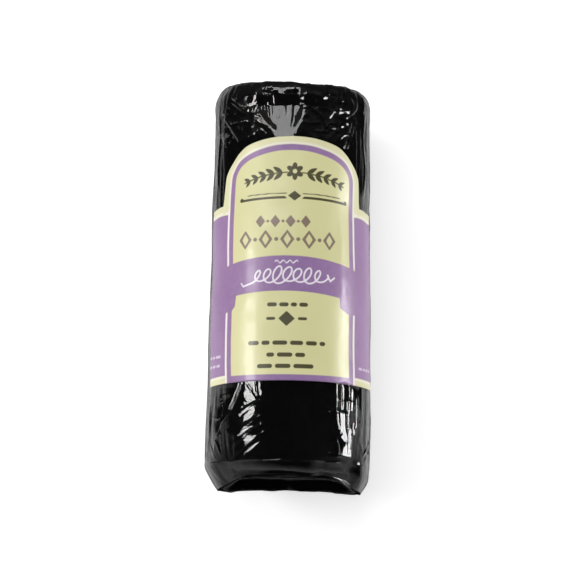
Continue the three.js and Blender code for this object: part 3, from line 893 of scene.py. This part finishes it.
# the mauve ink is darker in the middle of the label and lighter towards both sides, most at the right: partly the
# ink's own tone, partly painted side light and painted sheen
centre = map_range(N, L, attribute("across_mm"), -30.0, 30.0, 0.0, 1.0)
mauve_sheen_ramp = node(N, "ShaderNodeValToRGB")
mauve_sheen_ramp.color_ramp.elements[0].position, mauve_sheen_ramp.color_ramp.elements[0].color = 0.22, srgb(147, 114, 157)
mauve_sheen_ramp.color_ramp.elements[1].position, mauve_sheen_ramp.color_ramp.elements[1].color = 0.80, srgb(152, 118, 162)
mid = mauve_sheen_ramp.color_ramp.elements.new(0.5)
mid.color = srgb(139, 108, 156)
L.new(centre, mauve_sheen_ramp.inputs["Fac"])
mauve_ink_and_sheen = blend(map_range(N, L, fibre.outputs["Fac"], 0.35, 0.65, 0.0, 0.10), mauve_sheen_ramp.outputs["Color"], srgb(190, 160, 196))
colour = blend(ink_mask("ink_border", 0.2, 0.34), cream, srgb(228, 225, 200))
colour = blend(ink_mask("ink_glow", 0.22, 0.62), colour, srgb(238, 234, 228))
colour = blend(ink_mask("ink_mauve", 0.11), colour, mauve_ink_and_sheen)
colour = blend(ink_mask("ink_keyline", 0.13, 0.95), colour, srgb(238, 230, 238))
colour = blend(ink_mask("ink_olive", 0.08, 0.94), colour, srgb(52, 47, 20))
colour = blend(ink_mask("ink_brown", 0.10, 0.9), colour, srgb(120, 96, 92))
colour = blend(ink_mask("ink_white", 0.08, 0.92), colour, srgb(240, 232, 240))
colour = blend(ink_mask("ink_tiny", 0.10, 0.55), colour, srgb(236, 228, 238))
back = blend(attribute("printed"), srgb(232, 230, 222), colour)
L.new(back, bsdf.inputs["Base Color"])
L.new(map_range(N, L, fibre.outputs["Fac"], 0.3, 0.7, 0.30, 0.42), bsdf.inputs["Roughness"])
bsdf.inputs["Coat Weight"].default_value = 0.25
bsdf.inputs["Coat Roughness"].default_value = 0.16
bump = node(N, "ShaderNodeBump")
bump.inputs["Strength"].default_value = 0.12
bump.inputs["Distance"].default_value = 0.0001
L.new(fibre.outputs["Fac"], bump.inputs["Height"])
L.new(bump.outputs["Normal"], bsdf.inputs["Normal"])
out = node(N, "ShaderNodeOutputMaterial")
L.new(bsdf.outputs["BSDF"], out.inputs["Surface"])
label.data.materials.append(paper)

# ---------------------------------------------------------------- the new pieces joined to the root body, and the imported parts they replace hidden
for piece, slot in ((film, "film"), (log, "cheese"), (label, "label")):
    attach(piece, "root")
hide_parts("wrapped_log")
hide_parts("wrapped_log")
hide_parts("label")

# ---------------------------------------------------------------- floor
floor_mesh = bpy.data.meshes.new("floor")
floor_mesh.from_pydata([(-1.6, -1.6, 0), (1.6, -1.6, 0), (1.6, 1.6, 0), (-1.6, 1.6, 0)], [], [(0, 1, 2, 3)])
floor = bpy.data.objects.new("floor", floor_mesh)
floor.location.z = -0.00005
bpy.context.scene.collection.objects.link(floor)
floor_mat, N, L = new_material("pale floor")
bsdf = node(N, "ShaderNodeBsdfPrincipled")
speck = object_noise(N, L, 12.0, 2.0, 0.5)
shade = node(N, "ShaderNodeValToRGB")
shade.color_ramp.elements[0].color, shade.color_ramp.elements[1].color = (0.90, 0.90, 0.90, 1), (0.94, 0.94, 0.94, 1)
L.new(speck.outputs["Fac"], shade.inputs["Fac"])
L.new(shade.outputs["Color"], bsdf.inputs["Base Color"])
bsdf.inputs["Roughness"].default_value = 0.9
bsdf.inputs["Specular IOR Level"].default_value = 0.1
out = node(N, "ShaderNodeOutputMaterial")
L.new(bsdf.outputs["BSDF"], out.inputs["Surface"])
bsdf.inputs["Emission Color"].default_value = (1, 1, 1, 1)
bsdf.inputs["Emission Strength"].default_value = 0.50
floor_mesh.materials.append(floor_mat)
floor.visible_glossy = False


# ---------------------------------------------------------------- light
def softbox(name, place, aim, size, radiance, colour=(1, 1, 1)):
    data = bpy.data.lights.new(name, "AREA")
    data.shape, data.size, data.size_y = "RECTANGLE", size[0], size[1]
    data.energy = radiance * math.pi * size[0] * size[1]
    data.color = colour
    obj = bpy.data.objects.new(name, data)
    obj.location = place
    obj.rotation_euler = (Vector(aim) - Vector(place)).to_track_quat("-Z", "Z").to_euler()
    bpy.context.scene.collection.objects.link(obj)
    return obj


def unseen(obj):
    """A fill light that the glossy film doesn't mirror."""
    obj.visible_glossy = False
    return obj


# narrow boxes that draw the highlights on the folds of the near part
softbox("left box", (-0.62, 0.01, 0.464), (0, 0.01, 0.03), (0.21, 0.25), 15.0)
softbox("right box", (0.72, 0.035, 0.14), (0, 0.035, 0.03), (0.20, 0.22), 17.0)
softbox("back strip", (-0.30, 0.445, 0.80), (-0.30, 0.045, 0.04), (0.85, 0.25), 5.5)
# broad fills
unseen(softbox("left fill", (-0.90, -0.10, 0.70), (0, 0, 0.02), (0.9, 0.7), 0.70))
unseen(softbox("right fill", (0.95, -0.10, 0.60), (0, 0, 0.02), (0.9, 0.7), 0.95))
unseen(softbox("overhead fill", (0.0, 0.05, 1.50), (0, 0, 0), (1.6, 1.6), 0.25))

world = bpy.data.worlds.new("dim room")
bpy.context.scene.world = world
world.use_nodes = True
N, L = world.node_tree.nodes, world.node_tree.links
N.clear()
co = node(N, "ShaderNodeTexCoord")
sep = node(N, "ShaderNodeSeparateXYZ")
L.new(co.outputs["Generated"], sep.inputs["Vector"])


def world_math(operation, a, b):
    m = node(N, "ShaderNodeMath", operation=operation)
    for value, socket in ((a, m.inputs[0]), (b, m.inputs[1])):
        if isinstance(value, (int, float)):
            socket.default_value = value
        else:
            L.new(value, socket)
    return m.outputs[0]


# a low grey wall in front and behind; to the sides a pale table that stands higher in front than behind
front = world_math("MULTIPLY", map_range(N, L, sep.outputs["Y"], -0.20, -0.60, 0.0, 0.62),
                   map_range(N, L, sep.outputs["Z"], 0.70, 0.12, 0.0, 1.0))
front = world_math("MULTIPLY", front, map_range(N, L, sep.outputs["Z"], -0.28, -0.12, 0.0, 1.0))
behind = world_math("MULTIPLY", map_range(N, L, sep.outputs["Y"], 0.20, 0.50, 0.0, 0.24),
                    map_range(N, L, sep.outputs["Z"], 0.20, 0.60, 0.25, 1.0))
height = world_math("ADD", sep.outputs["Z"], map_range(N, L, sep.outputs["Y"], 0.13, 0.18, -0.32, 0.30))
across = world_math("ABSOLUTE", sep.outputs["X"], 0.0)
table = world_math("MULTIPLY", map_range(N, L, height, -0.10, -0.66, 0.0, 0.95),
                   map_range(N, L, sep.outputs["Z"], -0.995, -0.92, 0.12, 1.0))
table = world_math("MULTIPLY", table, map_range(N, L, across, 0.14, 0.42, 0.0, 1.0))
table = world_math("MULTIPLY", table, map_range(N, L, sep.outputs["Y"], -0.60, -0.10, 0.40, 1.0))
low = world_math("ADD", world_math("ADD", front, behind), world_math("ADD", table, 0.006))
bg = node(N, "ShaderNodeBackground")
L.new(low, bg.inputs["Strength"])
bg.inputs["Color"].default_value = (1, 1, 1, 1)
wo = node(N, "ShaderNodeOutputWorld")
L.new(bg.outputs["Background"], wo.inputs["Surface"])

# ---------------------------------------------------------------- camera, as the photograph was taken
ELEVATION, LEAN, DISTANCE = math.radians(81.5), math.radians(0.9), 1.0
target = Vector((-0.00055, 0.0009, 0.022))
back_dir = Vector((0, -math.cos(ELEVATION), math.sin(ELEVATION)))
right = Vector((1, 0, 0))
up = back_dir.cross(right)
right2 = right * math.cos(LEAN) + up * math.sin(LEAN)
up2 = back_dir.cross(right2)
cam_data = bpy.data.cameras.new("camera")
cam_data.sensor_width = 36.0
cam_data.lens = 3470.0 / 576.0 * 36.0
cam_data.clip_start, cam_data.clip_end = 0.05, 20.0
cam = bpy.data.objects.new("camera", cam_data)
m = Matrix.Identity(4)
for i in range(3):
    m[i][0], m[i][1], m[i][2] = right2[i], up2[i], back_dir[i]
m.translation = target + back_dir * DISTANCE
cam.matrix_world = m
bpy.context.scene.collection.objects.link(cam)
bpy.context.scene.camera = cam
bpy.context.scene.view_settings.view_transform = "Standard"

bpy.context.view_layer.update()
